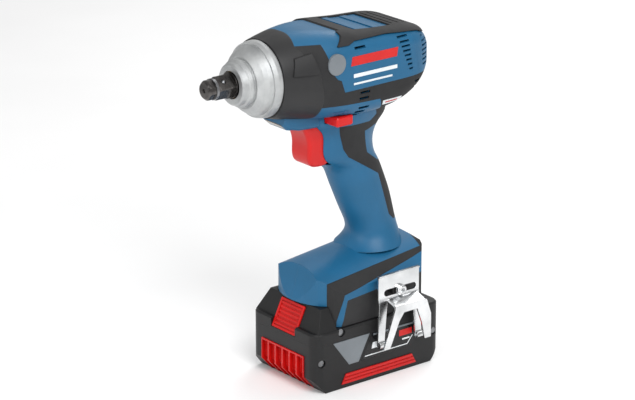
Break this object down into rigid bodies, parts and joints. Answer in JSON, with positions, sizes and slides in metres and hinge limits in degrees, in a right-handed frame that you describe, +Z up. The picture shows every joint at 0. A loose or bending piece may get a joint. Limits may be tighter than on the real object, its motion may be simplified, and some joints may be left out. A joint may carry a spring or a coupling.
{
  "type": "cordless impact wrench",
  "caption": "Pistol-grip cordless impact wrench with a square drive nose, red trigger, belt hook and slide-on battery foot.",
  "frame": {"origin": "centre of the battery's flat foot, on the floor plane and the tool's middle plane", "axes": "+X forward along the square drive, +Y to the tool's left, +Z up"},
  "size_m": [0.1853, 0.0925, 0.2638],
  "materials": {
    "housing_plastic": "satin",
    "grip_rubber": "matt",
    "cover_plastic": "satin",
    "case_aluminium": "satin",
    "drive_steel": "polished",
    "gear_steel": "ground",
    "bush_bronze": "satin",
    "red_plastic": "satin",
    "battery_plastic": "fine grain",
    "zinc_sheet": "bright zinc",
    "screw_steel": "satin",
    "lens_clear": "clear",
    "copper_coil": "lacquered",
    "lamination_steel": "matt",
    "board_green": "lacquered",
    "cell_wrap": "shrink wrap",
    "contact_metal": "bright",
    "badge_grey": "satin",
    "label_black": "printed film, blank",
    "inner_plastic": "moulded"
  },
  "bodies": {
    "tool_body": {"left_housing": "housing_plastic", "right_housing": "housing_plastic", "rear_cover": "housing_plastic", "left_grip_overmould": "grip_rubber", "right_grip_overmould": "grip_rubber", "top_rubber_frame": "grip_rubber", "rear_bumper": "grip_rubber", "foot_bumper": "grip_rubber", "front_cover": "cover_plastic", "cover_pads": "cover_plastic", "hammer_case": "case_aluminium", "nose_bush": "bush_bronze", "ring_gear": "gear_steel", "stator_core": "lamination_steel", "stator_coils": "copper_coil", "rear_bearing": "gear_steel", "front_bearing": "gear_steel", "gearbox_plate": "case_aluminium", "trigger_spring": "gear_steel", "switch_body": "inner_plastic", "led_lens": "lens_clear", "work_light_led": "lens_clear", "control_board": "board_green", "battery_socket": "cover_plastic", "terminal_block": "inner_plastic", "terminal_blades": "contact_metal", "belt_hook": "zinc_sheet", "hook_washer": "zinc_sheet", "hook_screw": "zinc_sheet", "housing_screws": "screw_steel", "blank_side_badges": "badge_grey"},
    "anvil_body": {"anvil": "drive_steel", "friction_ring": "screw_steel"},
    "detent_body": {"socket_detent_ball": "gear_steel"},
    "impact_shaft": {"cam_shaft": "gear_steel", "cam_balls": "gear_steel", "planet_pins": "gear_steel", "hammer_spring": "gear_steel"},
    "hammer_body": {"hammer": "gear_steel"},
    "planet_1": {"planet_gear_1": "gear_steel"},
    "planet_2": {"planet_gear_2": "gear_steel"},
    "planet_3": {"planet_gear_3": "gear_steel"},
    "motor_rotor": {"rotor": "gear_steel", "cooling_fan": "inner_plastic"},
    "trigger_body": {"trigger": "red_plastic"},
    "direction_body": {"direction_lever": "red_plastic"},
    "battery": {"battery_lower_case": "battery_plastic", "battery_upper_case": "battery_plastic", "button_spring": "gear_steel", "battery_grille": "red_plastic", "battery_side_strips": "red_plastic", "blank_badge_plates": "badge_grey", "blank_label_plates": "label_black", "battery_cells": "cell_wrap", "battery_contacts": "contact_metal", "battery_screws": "screw_steel"},
    "button_body": {"release_button": "red_plastic"}
  },
  "joints": [
    {"name": "impact_shaft_spin", "type": "hinge", "parent": "tool_body", "child": "impact_shaft", "pos_m": [0, 0, 0.232], "axis": [1, 0, 0], "continuous": true},
    {"name": "anvil_spin", "type": "hinge", "parent": "tool_body", "child": "anvil_body", "pos_m": [0, 0, 0.232], "axis": [1, 0, 0], "continuous": true},
    {"name": "rotor_spin", "type": "hinge", "parent": "tool_body", "child": "motor_rotor", "pos_m": [0, 0, 0.232], "axis": [1, 0, 0], "continuous": true},
    {"name": "planet_1_spin", "type": "hinge", "parent": "impact_shaft", "child": "planet_1", "pos_m": [0, 0.01215, 0.232], "axis": [1, 0, 0], "continuous": true},
    {"name": "planet_2_spin", "type": "hinge", "parent": "impact_shaft", "child": "planet_2", "pos_m": [0, -0.00607, 0.24252], "axis": [1, 0, 0], "continuous": true},
    {"name": "planet_3_spin", "type": "hinge", "parent": "impact_shaft", "child": "planet_3", "pos_m": [0, -0.00607, 0.22148], "axis": [1, 0, 0], "continuous": true},
    {"name": "hammer_slide", "type": "slide", "parent": "impact_shaft", "child": "hammer_body", "axis": [-1, 0, 0], "range_m": [0, 0.009], "stiffness_N_per_m": 9000, "springref_m": -0.003, "deforming": ["hammer_spring"]},
    {"name": "detent_press", "type": "slide", "parent": "anvil_body", "child": "detent_body", "axis": [0, -0.6293, -0.7771], "range_m": [0, 0.0006], "stiffness_N_per_m": 2000, "springref_m": -0.0005},
    {"name": "trigger_pull", "type": "slide", "parent": "tool_body", "child": "trigger_body", "axis": [-1, 0, 0], "range_m": [0, 0.006], "stiffness_N_per_m": 900, "springref_m": -0.004, "deforming": ["trigger_spring"]},
    {"name": "direction_slide", "type": "slide", "parent": "tool_body", "child": "direction_body", "axis": [0, 1, 0], "range_m": [-0.003, 0.003]},
    {"name": "battery_slide", "type": "slide", "parent": "tool_body", "child": "battery", "axis": [1, 0, 0], "range_m": [0, 0.085]},
    {"name": "release_press", "type": "slide", "parent": "battery", "child": "button_body", "axis": [-0.9032, 0, -0.4292], "range_m": [0, 0.003], "stiffness_N_per_m": 1500, "springref_m": -0.003, "deforming": ["button_spring"]}
  ],
  "couplings": [
    {"joint": "anvil_spin", "follows": "impact_shaft_spin", "ratio": 1},
    {"joint": "rotor_spin", "follows": "impact_shaft_spin", "ratio": 6},
    {"joint": "planet_1_spin", "follows": "impact_shaft_spin", "ratio": -2.5},
    {"joint": "planet_2_spin", "follows": "impact_shaft_spin", "ratio": -2.5},
    {"joint": "planet_3_spin", "follows": "impact_shaft_spin", "ratio": -2.5}
  ]
}
